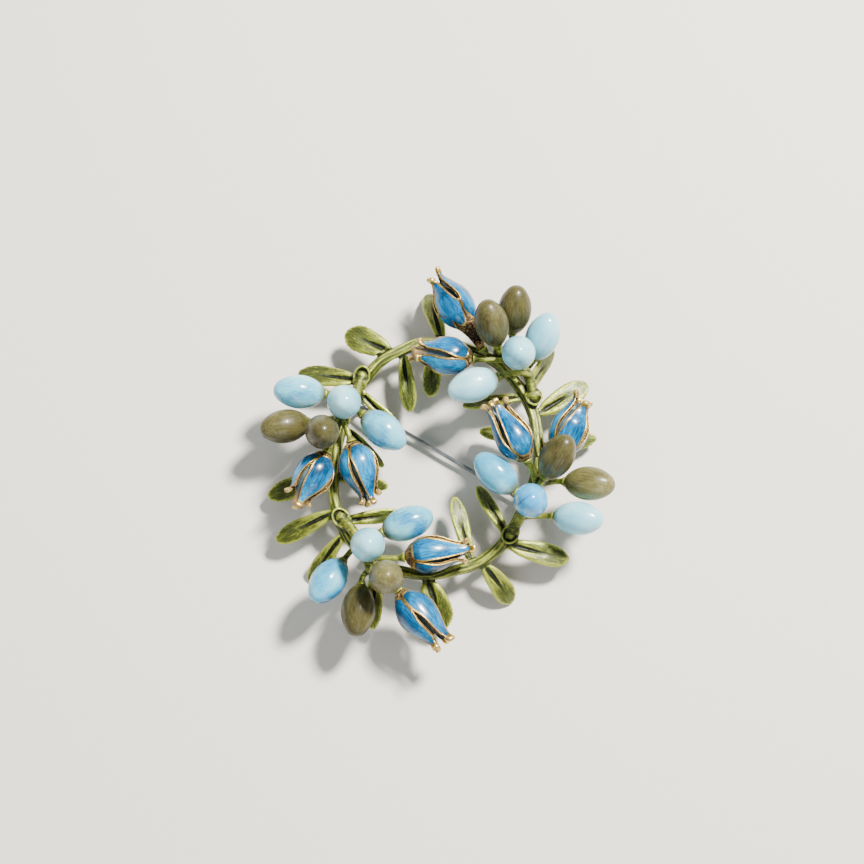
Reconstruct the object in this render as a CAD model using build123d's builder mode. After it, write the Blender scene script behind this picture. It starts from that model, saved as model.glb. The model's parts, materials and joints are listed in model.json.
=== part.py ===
from build123d import *
from math import acos, asin, atan2, cos, degrees, hypot, radians, sin, tan
import os

os.makedirs("parts", exist_ok=True)

# Driving sizes, in millimetres. The brooch lies on its back: +Z is up out of its face,
# +Y is the top of the wreath and +X its right side.
ring_radius = 17.4  # middle of the oval ring of stem
ring_lift = 5.2  # height of the ring's axis above what the back rests on
stem_d = 1.8
shoot_d = 1.6  # side shoot that carries one spray
butt_d = 1.85  # rounded butt of a side shoot, and the knot at its far end
shoot_rise = 2.6  # how far a spray's fork stands above the ring's axis
stalk_d = 0.95
cup_d = 1.9  # rim of the cup under each berry
cup_depth = 0.8
collar_d = 2.8  # shallow socket on the ring round the butt of each side shoot
collar_h = 1.3
collar_t = 0.3
collar_floor = 0.7  # height of the socket's floor in it
berry_d = 5.3
berry_len = 8.1
berry_end_r = 1.75  # rounding of a berry's two ends
berry_seat_d = 1.7  # small flat that a berry stands on
bud_d = 6.2
bud_len = 10.7
bud_wall = 0.75
bud_root_d = 1.8
slit_w = 0.6  # gap between two petals
rim_w = 0.45  # raised edge round each enamel panel
panel_depth = 0.18
calyx_share = 0.24  # share of a bud's length that is solid below its petals
horn_d = 0.8
horn_foot = 0.24  # where a horn starts: share of a bud's half width out from its axis
horn_reach = 0.46  # and where it ends
leaf_len = 9.4
leaf_w = 3.2
leaf_t = 0.95
peg_d = 0.8
peg_len = 1.6
seat_gap = 0.05  # between two pieces that sit on one another
bore_gap = 0.05  # round a peg, and round the hinge's rivet
pin_d = 0.65
pin_point = 3.0  # tapered end of the wire
pin_tip_d = 0.12
pin_past = 1.6  # wire beyond the catch
root_d = 1.0  # thicker root of the wire, from its eye
root_past = 0.35  # to just past the hinge's cheeks
eye_d = 2.0
eye_w = 1.1
rivet_d = 0.8
cheek_t = 0.7
cheek_d = 3.0
catch_len = 2.2
prong_t = 0.75
plate_t = 0.6
slot_gap = 0.12  # on each side of the wire in its catch
pad_d = 2.4  # flat pads under the ring for the hinge and the catch
pad_drop = 0.35  # how far a pad's face lies below the stem

# Places that follow from those sizes
pin_z = cheek_d / 2
pad_z = ring_lift - stem_d / 2 - pad_drop
hinge_angle = 143.0
catch_angle = -24.0

# Middle line of the ring: an angle round the wreath and a share of ring_radius
ring_rows = [
    # angle, share
    (0, 0.935), (24, 0.975), (42, 1.02), (60, 1.06), (80, 1.085), (98, 1.095), (118, 1.055),
    (134, 0.98), (152, 0.925), (172, 0.91), (190, 0.95), (207, 1.02), (225, 1.09), (246, 1.10),
    (268, 1.07), (290, 1.03), (307, 0.99), (322, 0.925), (341, 0.905),
]

# Leaves: where each leaves the ring, the way it points, how steeply it starts and ends above
# the flat, its roll about its own length, and its length and width as shares of the leaf's
leaf_rows = [
    # name, ring angle, heading, start pitch, end pitch, roll, length, width
    ("leaf_1", 112, 155, 6, -16, 0, 0.90, 1.30),
    ("leaf_2", 107, 277, -4, -10, 12, 1.06, 0.92),
    ("leaf_3", 133, 171, -2, -14, 20, 1.12, 0.98),
    ("leaf_4", 138, 315, -4, -12, 30, 1.00, 0.80),
    ("leaf_5", 160, 315, -6, -10, -35, 0.98, 0.74),
    ("leaf_6", 187, 199, -14, -12, 0, 1.19, 1.16),
    ("leaf_7", 189, 350, -10, -14, 25, 0.95, 0.84),
    ("leaf_8", 208, 205, -2, -16, 0, 1.12, 1.06),
    ("leaf_9", 213, 8, -4, -10, 25, 1.04, 0.80),
    ("leaf_11", 240, 267, -6, -16, 10, 1.12, 0.92),
    ("leaf_12", 265, 288, 0, -22, 0, 0.94, 1.30),
    ("leaf_14", 288, 104, 4, -10, 14, 1.22, 0.90),
    ("leaf_15", 308, 347, -2, -14, 0, 1.12, 1.00),
    ("leaf_16", 312, 119, -8, -10, 24, 1.04, 0.86),
    ("leaf_17", 24, 33, -2, -14, 0, 1.08, 1.00),
    ("leaf_18", 6, 14, -20, -14, 10, 1.06, 0.92),
    ("leaf_19", 11, 170, -8, -12, 10, 1.00, 0.84),
    ("leaf_20", 35, 186, 0, -16, 30, 1.08, 0.86),
    ("leaf_21", 37, 57, 0, -8, 62, 0.94, 0.92),
    ("leaf_23", 91, 266, -4, -10, 12, 0.92, 0.98),
]
# These leaves bend back until their tips reach the surface that the brooch lies on
resting_rows = [
    # name, ring angle, heading, length on the flat, width
    ("leaf_22", 87, 104, 1.02, 1.04),
    ("leaf_10", 219, 231, 0.97, 0.92),
    ("leaf_13", 293, 311, 0.80, 0.94),
]
resting_bend = 22.0  # degrees either side of the mean pitch

# Sections of a leaf, from the ring to the tip
leaf_sections = [
    # share of length, half width, thickness, groove depth
    (0.00, 0.30, 0.85, 0.00),
    (0.16, 0.58, 0.95, 0.42),
    (0.42, 0.86, 0.95, 0.48),
    (0.68, 1.00, 0.85, 0.16),
    (0.88, 0.80, 0.70, 0.00),
    (1.00, 0.26, 0.42, 0.00),
]

# Side shoots: root angle on the ring, then points as shares of ring_radius beside the ring there,
# and heights above the ring's axis as shares of shoot_rise
shoot_rows = {
    # spray: root angle, ((across, up, height), ...)
    "a": (132, ((-0.02, 0.02, 0.3), (-0.06, -0.13, 0.62), (-0.13, -0.26, 0.92), (-0.21, -0.37, 1.0),
                (-0.27, -0.50, 1.0))),
    "b": (32, ((0.05, 0.04, 0.3), (0.01, 0.22, 0.62), (-0.075, 0.32, 0.92), (-0.16, 0.355, 1.0),
               (-0.27, 0.45, 1.0))),
    "c": (313, ((0.01, 0.0, 0.3), (0.095, 0.145, 0.62), (0.17, 0.275, 0.92), (0.24, 0.41, 1.0),
                (0.31, 0.505, 1.0))),
    "d": (212, ((0.015, 0.0, 0.3), (0.12, -0.115, 0.62), (0.19, -0.24, 0.92), (0.24, -0.36, 1.0),
                (0.29, -0.485, 1.0))),
}

# Berries: spray, shoot point that the stalk leaves, its seat's place beside the spray's fork as
# shares of berry_d, and the way it points
berry_rows = [
    # name, shoot point, across, up, height, heading, tilt
    ("a1_blue", 2, -0.48, 0.67, 0.03, 179, 16),
    ("a2_blue", 2, 0.12, 0.37, 0.22, 280, 78),
    ("a3_blue", 1, 0.70, -0.01, 0.19, 322, 1),
    ("a4_olive", 3, -0.95, -0.16, -0.17, 194, 22),
    ("a5_olive", 4, -0.52, -0.52, 0.16, 283, 79),
    ("b1_blue", 1, -0.43, -0.66, 0.60, 200, 7),
    ("b2_blue", 2, 0.22, 0.15, 0.29, 261, 77),
    ("b3_blue", 2, 0.68, 0.10, -0.16, 66, 36),
    ("b4_olive", 4, -0.42, 0.38, 0.50, 109, 45),
    ("b5_olive", 3, 0.05, 0.88, -0.04, 84, 42),
    ("c1_blue", 1, 0.55, -0.83, -0.14, 350, 26),
    ("c2_blue", 2, -0.16, -0.43, 0.22, 256, 80),
    ("c3_blue", 2, -0.62, -0.09, 0.05, 138, 3),
    ("c4_olive", 3, 0.88, 0.17, 0.03, 351, 24),
    ("c5_olive", 3, 0.25, 0.28, 0.40, 55, 40),
    ("d1_blue", 1, 0.52, 0.70, 0.04, 20, 1),
    ("d2_blue", 2, 0.06, 0.30, 0.22, 280, 80),
    ("d3_blue", 2, -0.68, -0.17, -0.04, 236, 17),
    ("d4_olive", 4, -0.13, -0.88, -0.04, 264, 8),
    ("d5_olive", 3, 0.59, -0.65, 0.25, 278, 80),
]

# Buds: as the berries, with places as shares of bud_d, and with the length of a tapering neck
# below the bud, and of the bud itself, as shares of bud_len
bud_rows = [
    # name, shoot point, across, up, height, heading, tilt, neck, length, roll
    ("a6_bud", 4, -0.34, -0.98, 0.14, 242, 0, 0.0, 0.90, 8),
    ("a7_bud", 3, 0.29, -0.70, 0.12, 288, -2, 0.0, 0.94, 18),
    ("b6_bud", 4, -0.71, 0.29, 0.10, 123, 4, 0.36, 0.97, 10),
    ("b7_bud", 3, -0.97, 0.01, 0.18, 174, -2, 0.0, 0.89, -10),
    ("c6_bud", 4, 0.56, 0.83, 0.03, 65, 10, 0.0, 0.93, -17),
    ("c7_bud", 3, -0.24, 0.66, 0.24, 120, 9, 0.0, 0.98, 53),
    ("d6_bud", 3, 0.98, -0.06, 0.19, 7, 0, 0.0, 1.0, 45),
    ("d7_bud", 4, 0.85, -0.92, 0.10, 309, 1, 0.0, 1.0, 11),
]

# Outline of a bud
bud_sections = [
    # share of length, share of half width
    (0.00, 0.30), (0.09, 0.62), (0.20, 0.91), (0.34, 1.00), (0.52, 0.88), (0.70, 0.58), (0.86, 0.36),
]


def direction(heading, tilt):
    flat = cos(radians(tilt))
    return Vector(flat * cos(radians(heading)), flat * sin(radians(heading)), sin(radians(tilt)))


def ring_point(angle, height=ring_lift):
    """The ring's axis at an angle round the wreath."""
    turns = [row[0] for row in ring_rows]
    shares = [row[1] for row in ring_rows]
    turns.append(turns[0] + 360)
    shares.append(shares[0])
    angle = (angle - turns[0]) % 360 + turns[0]
    after = next(i for i, turn in enumerate(turns) if turn >= angle and i > 0)
    part_way = (angle - turns[after - 1]) / (turns[after] - turns[after - 1])
    ends = [ring_radius * shares[i] * direction(turns[i], 0) for i in (after - 1, after)]
    return ends[0] * (1 - part_way) + ends[1] * part_way + Vector(0, 0, height)


def corner_radii(points, closed=False):
    """A fillet radius at each corner, as large as the runs beside it leave room for."""
    count = len(points)
    corners = range(count) if closed else range(1, count - 1)
    radii = []
    for i in corners:
        before = points[i] - points[i - 1]
        after = points[(i + 1) % count] - points[i]
        turn = radians(before.get_angle(after))
        radii.append(0.42 * min(before.length, after.length) / tan(turn / 2))
    return radii


def rod(points, size):
    """A round rod through points in space, its corners rounded."""
    with BuildPart() as limb:
        with BuildLine() as route:
            FilletPolyline(*points, radius=corner_radii(points))
        with BuildSketch(Plane(route.line @ 0, z_dir=route.line % 0)):
            Circle(size / 2)
        sweep()
    return limb.part


def ball(centre, size, outward):
    with BuildPart(Plane(centre, z_dir=outward)) as knob:
        Sphere(size / 2)
    return knob.part


def leaf(start, heading, pitches, roll, length, width):
    """A spatulate leaf: sections along a line that bends from the first pitch to the second."""
    side = Vector(-sin(radians(heading)), cos(radians(heading)), 0)
    place = start
    last = 0.0
    with BuildPart() as blade:
        for share, half_width, thickness, groove in leaf_sections:
            middle = (share + last) / 2
            mean_pitch = pitches[0] + (pitches[1] - pitches[0]) * middle
            place = place + direction(heading, mean_pitch) * ((share - last) * length)
            last = share
            pitch = pitches[0] + (pitches[1] - pitches[0]) * share
            along = direction(heading, pitch)
            across = side.rotate(Axis((0, 0, 0), along), roll)
            reach = half_width * width / 2
            top = thickness * leaf_t / 2
            valley = top - groove * thickness * leaf_t
            crest = min(top * (0.72 + 0.28 * min(1.0, groove / 0.4)), valley / 2 + 0.42 * reach)
            with BuildSketch(Plane(place, x_dir=across, z_dir=along)):
                with BuildLine():
                    ThreePointArc((-reach, 0), (-reach / 2, crest), (0, valley))
                    ThreePointArc((0, valley), (reach / 2, crest), (reach, 0))
                    ThreePointArc((reach, 0), (0, -top), (-reach, 0))
                make_face()
        loft()
    return blade.part


def resting_pitches(length_on_flat):
    """Pitches and real length of a leaf whose tip comes down to the surface."""
    drop = ring_lift - leaf_sections[-1][2] * leaf_t / 2
    mean = -degrees(asin(drop / hypot(drop, length_on_flat)))
    spread = radians(resting_bend)
    length = hypot(drop, length_on_flat) * spread / sin(spread)
    return (mean + resting_bend, mean - resting_bend), length


def shoot_points(spray):
    """The middle line of a side shoot: its root, two points, its fork and its end."""
    root_angle, steps = shoot_rows[spray]
    points = []
    for across, up, height in steps:
        beside = Vector(across, up, 0) * ring_radius
        points.append(ring_point(root_angle, ring_lift + height * shoot_rise) + beside)
    return points


def seat_place(row, size):
    """Where a berry or a bud sits: its seat and the way it points."""
    fork = shoot_points(row[0][0])[3]
    place = fork + Vector(row[2], row[3], row[4]) * size
    return place, direction(row[5], row[6])


def upright_plane(seat, heading, along):
    """A plane across a berry or a bud at its seat, its Y axis turned to the brooch's face."""
    side = Vector(-sin(radians(heading)), cos(radians(heading)), 0)
    return Plane(seat, x_dir=side, z_dir=along)


def stalk(start, seat, along):
    """A stalk from a shoot to a seat, with a cup that widens to the seat and a peg in it."""
    foot = seat - along * (cup_depth + seat_gap)
    chord = foot - start
    with BuildPart() as limb:
        with BuildLine() as route:
            if chord.get_angle(along) > 4:
                TangentArc(foot, start, tangent=-along)
            else:
                Line(foot, start)
        with BuildSketch(Plane(foot, z_dir=-along)):
            Circle(stalk_d / 2)
        sweep()
        with BuildSketch(Plane(foot, z_dir=along)):
            Circle(stalk_d / 2)
        with BuildSketch(Plane(foot + along * cup_depth, z_dir=along)):
            Circle(cup_d / 2)
        loft()
        with BuildSketch(Plane(foot + along * cup_depth, z_dir=along)):
            Circle(peg_d / 2)
        extrude(amount=peg_len)
    return limb.part


def pin_line():
    """Where the wire runs: the hinge's axis, the catch and the way from one to the other."""
    hinge = ring_point(hinge_angle, pin_z)
    catch = ring_point(catch_angle, pin_z)
    return hinge, catch, (catch - hinge).normalized()


def pad(angle):
    """A short post under the ring with a flat face for a soldered fitting."""
    with BuildPart() as post:
        with BuildSketch(Plane(ring_point(angle, pad_z))):
            Circle(pad_d / 2)
        extrude(amount=ring_lift - pad_z)
    return post.part


# Green metalwork: the ring, side shoots, leaves, stalks, cups and pads, soldered into one
ring_corners = [ring_point(row[0]) for row in ring_rows]
with BuildPart() as ring:
    with BuildLine() as ring_route:
        FilletPolyline(*ring_corners, radius=corner_radii(ring_corners, closed=True), close=True)
    with BuildSketch(Plane(ring_route.line @ 0, z_dir=ring_route.line % 0)):
        Circle(stem_d / 2)
    sweep()

metalwork = [pad(hinge_angle), pad(catch_angle)]
for name, angle, heading, first, last, roll, length, width in leaf_rows:
    pitches = (first, last)
    metalwork.append(leaf(ring_point(angle), heading, pitches, roll, length * leaf_len, width * leaf_w))
for name, angle, heading, length, width in resting_rows:
    pitches, real_length = resting_pitches(length * leaf_len)
    metalwork.append(leaf(ring_point(angle), heading, pitches, 0, real_length, width * leaf_w))
for spray in shoot_rows:
    points = shoot_points(spray)
    metalwork.append(rod(points, shoot_d))
    rise = (points[1] - points[0]).normalized()
    metalwork.append(ball(points[0], butt_d, -rise))
    metalwork.append(ball(points[-1], butt_d, points[-1] - points[-2]))
    with BuildPart(Plane((points[0].X, points[0].Y, ring_lift))) as collar:
        Cylinder(collar_d / 2, collar_h, align=(Align.CENTER, Align.CENTER, Align.MIN))
        with Locations((0, 0, collar_floor)):
            Cylinder(collar_d / 2 - collar_t, collar_h, mode=Mode.SUBTRACT,
                     align=(Align.CENTER, Align.CENTER, Align.MIN))
    metalwork.append(collar.part)
for row in berry_rows:
    seat, along = seat_place(row, berry_d)
    metalwork.append(stalk(shoot_points(row[0][0])[row[1]], seat, along))
for row in bud_rows:
    seat, along = seat_place(row, bud_d)
    metalwork.append(stalk(shoot_points(row[0][0])[row[1]], seat, along))
with BuildPart() as wreath_frame:
    add([ring.part] + metalwork)


def oval(half_width, height, end_radius):
    """Radius of the long side arc that meets an end arc smoothly, and the angle where they meet."""
    rise = height - end_radius
    side_radius = (half_width**2 + rise**2 - end_radius**2) / (2 * (half_width - end_radius))
    return side_radius, degrees(atan2(rise, side_radius - half_width))


# One berry, pointing up: a blunt egg on a small flat, with a blind bore for its peg
berry_middle = 0.48 * berry_len
seat_angle = degrees(acos(berry_seat_d / 2 / berry_end_r))
low_height = berry_middle + berry_end_r * (1 - sin(radians(seat_angle)))
low_side, low_turn = oval(berry_d / 2, low_height, berry_end_r)
high_side, high_turn = oval(berry_d / 2, berry_len - berry_middle, berry_end_r)
with BuildPart() as berry:
    with BuildSketch(Plane.XZ):
        with BuildLine():
            low = JernArc((berry_d / 2, berry_middle), (0, -1), low_side, -low_turn)
            seat_arc = JernArc(low @ 1, low % 1, berry_end_r, low_turn - seat_angle)
            high = JernArc((berry_d / 2, berry_middle), (0, 1), high_side, high_turn)
            tip_arc = JernArc(high @ 1, high % 1, berry_end_r, 90 - high_turn)
            Polyline(tip_arc @ 1, (0, 0), seat_arc @ 1)
        make_face()
    revolve(axis=Axis.Z)
    Cylinder(peg_d / 2 + bore_gap, peg_len + 2 * bore_gap, mode=Mode.SUBTRACT,
             align=(Align.CENTER, Align.CENTER, Align.MIN))


def bud(neck, length):
    """One bud, pointing up: four petals on a calyx, with slits between and enamel panels sunk in."""
    outline = [(half * bud_d / 2, share * length + neck) for share, half in bud_sections]
    hollow = [(radius - bud_wall, height) for radius, height in outline[2:]]
    panel = [(radius - panel_depth, height) for radius, height in outline[1:]]
    tip_z = outline[-1][1]
    throat_r = hollow[-1][0]
    floor_z = neck + calyx_share * length
    tall = 2 * (length + neck)
    with BuildPart() as panels:
        with BuildSketch(Plane.XZ):
            with BuildLine():
                Spline(panel)
                Polyline(panel[-1], (bud_d, panel[-1][1]), (bud_d, panel[0][1]), panel[0])
            make_face()
        revolve(axis=Axis.Z)
        for turn in (0, 90):
            Box(slit_w + 2 * rim_w, 2 * tall, 2 * tall, rotation=(0, 0, turn), mode=Mode.SUBTRACT)
    with BuildPart() as flower:
        with BuildSketch(Plane.XZ):
            with BuildLine():
                Spline(outline)
                Polyline(outline[-1], (0, tip_z), (0, 0), (bud_root_d / 2, 0), outline[0])
            make_face()
        revolve(axis=Axis.Z)
        with BuildSketch(Plane.XZ):
            with BuildLine():
                Spline(hollow)
                Polyline(hollow[-1], (throat_r, tall), (0, tall), (0, floor_z), hollow[0])
            make_face()
        revolve(axis=Axis.Z, mode=Mode.SUBTRACT)
        with Locations((0, 0, floor_z)):
            for turn in (0, 90):
                Box(slit_w, tall, tall, rotation=(0, 0, turn), mode=Mode.SUBTRACT,
                    align=(Align.CENTER, Align.CENTER, Align.MIN))
        add(panels.part, mode=Mode.SUBTRACT)
        for turn in (45, 135, 225, 315):
            foot = direction(turn, 0) * (horn_foot * bud_d / 2) + Vector(0, 0, tip_z - 0.08 * length)
            end = direction(turn, 0) * (horn_reach * bud_d / 2) + Vector(0, 0, neck + length - horn_d / 2)
            with BuildSketch(Plane(foot, z_dir=end - foot)):
                Circle(horn_d * 0.45)
            extrude(amount=(end - foot).length)
            with Locations(end):
                Sphere(horn_d / 2)
        Cylinder(peg_d / 2 + bore_gap, peg_len + 2 * bore_gap, mode=Mode.SUBTRACT,
                 align=(Align.CENTER, Align.CENTER, Align.MIN))
    return flower.part


# The pin: its wire, hinge and catch, set out along the line from the hinge to the catch
hinge_place, catch_place, pin_way = pin_line()
hinge_plane = Plane(hinge_place, x_dir=pin_way, z_dir=(0, 0, 1))
catch_plane = Plane(catch_place, x_dir=pin_way, z_dir=(0, 0, 1))
pin_reach = (catch_place - hinge_place).length + pin_past
hinge_w = eye_w + 2 * bore_gap + 2 * cheek_t
catch_w = pin_d + 2 * slot_gap + 2 * prong_t
seat_z = pad_z - seat_gap - pin_z

# The steel wire: an eye on the rivet, a straight stem and a tapered point
with BuildPart() as pin_stem:
    with BuildSketch(Plane.XZ.offset(-eye_w / 2)):
        Circle(eye_d / 2)
    extrude(amount=eye_w)
    with BuildSketch(Plane.YZ.offset(eye_d / 4)):
        Circle(root_d / 2)
    extrude(amount=cheek_d / 2 + root_past - eye_d / 4)
    with BuildSketch(Plane.YZ.offset(eye_d / 4)):
        Circle(pin_d / 2)
    extrude(amount=pin_reach - pin_point - eye_d / 4)
    with BuildSketch(Plane.YZ.offset(pin_reach - pin_point)):
        Circle(pin_d / 2)
    with BuildSketch(Plane.YZ.offset(pin_reach)):
        Circle(pin_tip_d / 2)
    loft()
    with BuildSketch(Plane.XZ.offset(-eye_w)):
        Circle(rivet_d / 2 + bore_gap)
    extrude(amount=2 * eye_w, mode=Mode.SUBTRACT)

# The hinge: two cheeks hanging from a plate, with a rivet through them
with BuildPart() as pin_hinge:
    with BuildSketch(Plane.XZ.offset(-hinge_w / 2)):
        Circle(cheek_d / 2)
        with Locations((0, seat_z / 2)):
            Rectangle(cheek_d * 0.8, seat_z)
    extrude(amount=hinge_w)
    with Locations((0, 0, (seat_z - plate_t - cheek_d) / 2)):
        Box(2 * cheek_d, eye_w + 2 * bore_gap, seat_z - plate_t + cheek_d, mode=Mode.SUBTRACT)
    with BuildSketch(Plane.XZ.offset(-hinge_w / 2)):
        Circle(rivet_d / 2)
    extrude(amount=hinge_w)

# The catch: two prongs that the wire lies between, open away from the wreath
with BuildPart() as pin_catch:
    with Locations((0, 0, (seat_z - pin_z) / 2)):
        Box(catch_len, catch_w, seat_z + pin_z)
    fillet(pin_catch.edges().filter_by(Axis.X).group_by(Axis.Z)[0], prong_t * 0.45)
    slot_top = pin_d / 2 + slot_gap
    with Locations((0, 0, (slot_top - 2 * pin_z) / 2)):
        Box(2 * catch_len, pin_d + 2 * slot_gap, slot_top + 2 * pin_z, mode=Mode.SUBTRACT)

# Every piece in its place, by name
pieces = {"wreath_frame": wreath_frame.part}
for row in berry_rows:
    seat, along = seat_place(row, berry_d)
    pieces[row[0] + "_berry"] = upright_plane(seat, row[5], along).location * berry.part
for row in bud_rows:
    seat, along = seat_place(row, bud_d)
    shape = bud(row[7] * bud_len, row[8] * bud_len)
    pieces[row[0]] = upright_plane(seat, row[5], along).location * Rot(0, 0, row[9]) * shape
pieces["pin_stem"] = hinge_plane.location * pin_stem.part
pieces["pin_hinge"] = hinge_plane.location * pin_hinge.part
pieces["pin_catch"] = catch_plane.location * pin_catch.part

# The origin is under the middle of the whole brooch, on the surface that it lies on
box = Compound(list(pieces.values())).bounding_box()
to_origin = Vector(-(box.min.X + box.max.X) / 2, -(box.min.Y + box.max.Y) / 2, -box.min.Z)
for name, piece in pieces.items():
    placed = Pos(*to_origin) * piece
    placed.label = name
    export_step(placed, f"parts/{name}.step")
print("moved by", to_origin)
print("hinge axis at", hinge_place + to_origin, "catch at", catch_place + to_origin, "wire along", pin_way)
print("wire from the hinge's axis to its tip", pin_reach)
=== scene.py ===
import json
import math

import bpy
import numpy as np
from mathutils import Matrix, Vector


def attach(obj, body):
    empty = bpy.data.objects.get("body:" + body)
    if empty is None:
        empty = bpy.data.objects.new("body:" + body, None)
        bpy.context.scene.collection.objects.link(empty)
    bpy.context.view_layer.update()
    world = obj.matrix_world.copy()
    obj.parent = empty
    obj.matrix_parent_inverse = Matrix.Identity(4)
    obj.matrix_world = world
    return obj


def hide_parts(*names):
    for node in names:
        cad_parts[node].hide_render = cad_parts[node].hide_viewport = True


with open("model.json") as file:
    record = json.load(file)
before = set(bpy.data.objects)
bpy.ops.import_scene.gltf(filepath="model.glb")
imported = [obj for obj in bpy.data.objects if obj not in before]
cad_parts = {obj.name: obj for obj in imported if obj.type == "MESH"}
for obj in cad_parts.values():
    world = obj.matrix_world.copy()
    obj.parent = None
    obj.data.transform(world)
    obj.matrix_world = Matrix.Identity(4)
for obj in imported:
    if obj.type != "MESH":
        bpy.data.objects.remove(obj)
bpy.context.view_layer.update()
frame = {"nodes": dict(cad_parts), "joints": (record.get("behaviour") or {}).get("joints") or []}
mm = 0.001


# small helpers

def pickOnly(obj):
    if bpy.context.object and bpy.context.object.mode != "OBJECT":
        bpy.ops.object.mode_set(mode="OBJECT")
    bpy.ops.object.select_all(action="DESELECT")
    obj.select_set(True)
    bpy.context.view_layer.objects.active = obj


def applyModifier(obj, kind, **values):
    pickOnly(obj)
    modifier = obj.modifiers.new(kind.lower(), kind)
    for key, value in values.items():
        setattr(modifier, key, value)
    bpy.ops.object.modifier_apply(modifier=modifier.name)


def meshPoints(obj):
    points = np.zeros(len(obj.data.vertices) * 3, np.float32)
    obj.data.vertices.foreach_get("co", points)
    return points.reshape(-1, 3).astype(float)


def setPoints(obj, points):
    obj.data.vertices.foreach_set("co", points.astype(np.float32).ravel())
    obj.data.update()


def meshNormals(obj):
    normals = np.zeros(len(obj.data.vertices) * 3, np.float32)
    obj.data.vertex_normals.foreach_get("vector", normals)
    return normals.reshape(-1, 3).astype(float)


def writeVector(obj, name, values):
    layer = obj.data.attributes.new(name, "FLOAT_VECTOR", "POINT")
    layer.data.foreach_set("vector", np.asarray(values, np.float32).ravel())


def writeNumber(obj, name, values):
    layer = obj.data.attributes.new(name, "FLOAT", "POINT")
    layer.data.foreach_set("value", np.asarray(values, np.float32).ravel())


def triangles(obj):
    return len(obj.data.loops) - 2 * len(obj.data.polygons)


def smoothShade(obj, degrees):
    pickOnly(obj)
    bpy.ops.object.shade_smooth_by_angle(angle=math.radians(degrees))


def softStep(low, high, x):
    t = np.clip((x - low) / (high - low), 0, 1)
    return t * t * (3 - 2 * t)


def relaxed(points, edges, rounds, pull=0.6):
    # each point moves towards the mean of its neighbours, over and over
    count = np.bincount(edges.ravel(), minlength=len(points))[:, None].clip(1)
    for _ in range(rounds):
        total = np.zeros_like(points)
        for axis in range(3):
            total[:, axis] = np.bincount(edges[:, 0], points[edges[:, 1], axis], len(points))
            total[:, axis] += np.bincount(edges[:, 1], points[edges[:, 0], axis], len(points))
        points = (1 - pull) * points + pull * total / count
    return points


def writeRelief(obj, rounds, depth):
    # above 0.5 on rims and ridges, below it in grooves and corners
    edges = np.zeros(len(obj.data.edges) * 2, np.int32)
    obj.data.edges.foreach_get("vertices", edges)
    edges = edges.reshape(-1, 2)
    points = meshPoints(obj)
    off = ((points - relaxed(points, edges, rounds)) * meshNormals(obj)).sum(1)
    writeNumber(obj, "relief", np.clip(0.5 + 0.5 * off / depth, 0, 1))


def copyNode(nodeName, newName, mergeBy=0.001 * mm):
    source = frame["nodes"][nodeName]
    obj = bpy.data.objects.new(newName, source.data.copy())
    bpy.context.scene.collection.objects.link(obj)
    obj.data.materials.clear()
    pickOnly(obj)
    bpy.ops.object.mode_set(mode="EDIT")
    bpy.ops.mesh.select_all(action="SELECT")
    bpy.ops.mesh.remove_doubles(threshold=mergeBy)
    bpy.ops.object.mode_set(mode="OBJECT")
    return obj


def heading3d(heading, tilt=0.0):
    flat = math.cos(math.radians(tilt))
    return np.array([flat * math.cos(math.radians(heading)), flat * math.sin(math.radians(heading)),
                     math.sin(math.radians(tilt))])


def sideOf(heading):
    return np.array([-math.sin(math.radians(heading)), math.cos(math.radians(heading)), 0.0])


def seatFrame(points, heading, tilt):
    # side, up and along axes of a berry or bud, and the middle of its seat
    along = heading3d(heading, tilt)
    side = sideOf(heading)
    up = np.cross(along, side)
    reach = [points @ axis for axis in (side, up, along)]
    seat = side * (reach[0].min() + reach[0].max()) / 2
    seat = seat + up * (reach[1].min() + reach[1].max()) / 2 + along * reach[2].min()
    return np.array([side, up, along]), seat


# materials

def newGroup(name, inputs, outputs):
    group = bpy.data.node_groups.new(name, "ShaderNodeTree")
    for label, kind, value in inputs:
        socket = group.interface.new_socket(label, in_out="INPUT", socket_type=kind)
        if value is not None:
            socket.default_value = value
    for label, kind in outputs:
        group.interface.new_socket(label, in_out="OUTPUT", socket_type=kind)
    return group, group.nodes.new("NodeGroupInput").outputs, group.nodes.new("NodeGroupOutput")


def fillSockets(tree, node, sources):
    # each socket gets a link or a plain value
    for socket, source in sources.items():
        if isinstance(source, bpy.types.NodeSocket):
            tree.links.new(source, node.inputs[socket])
        else:
            node.inputs[socket].default_value = source
    return node


def addNode(tree, kind, sources, **values):
    node = tree.nodes.new(kind)
    for key, value in values.items():
        setattr(node, key, value)
    return fillSockets(tree, node, sources)


def placeGroup(tree, group, sources):
    return addNode(tree, "ShaderNodeGroup", sources, node_tree=group).outputs


def readAttribute(tree, name):
    return addNode(tree, "ShaderNodeAttribute", {}, attribute_name=name).outputs


def mixColour(tree, amount, first, second):
    return addNode(tree, "ShaderNodeMix", {0: amount, 6: first, 7: second}, data_type="RGBA").outputs[2]


def maths(tree, operation, first, second):
    return addNode(tree, "ShaderNodeMath", {0: first, 1: second}, operation=operation).outputs[0]


def stretched(tree, where, scale):
    return addNode(tree, "ShaderNodeMapping", {0: where, 3: scale}).outputs[0]


def noise(tree, where, scale, detail, roughness, distortion=0.0):
    sources = {0: where, "Scale": scale, "Detail": detail, "Roughness": roughness, "Distortion": distortion}
    return addNode(tree, "ShaderNodeTexNoise", sources).outputs[0]


def swing(tree, source, amount):
    # how far a noise is from its mean, times an amount
    return maths(tree, "MULTIPLY", maths(tree, "SUBTRACT", source, 0.5), amount)


def spread(tree, value, ends, results=(0.0, 1.0)):
    # a soft step from the first result to the second while the value goes from one end to the other
    sources = {0: value, 1: ends[0], 2: ends[1], 3: results[0], 4: results[1]}
    return addNode(tree, "ShaderNodeMapRange", sources, interpolation_type="SMOOTHSTEP").outputs[0]


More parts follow.
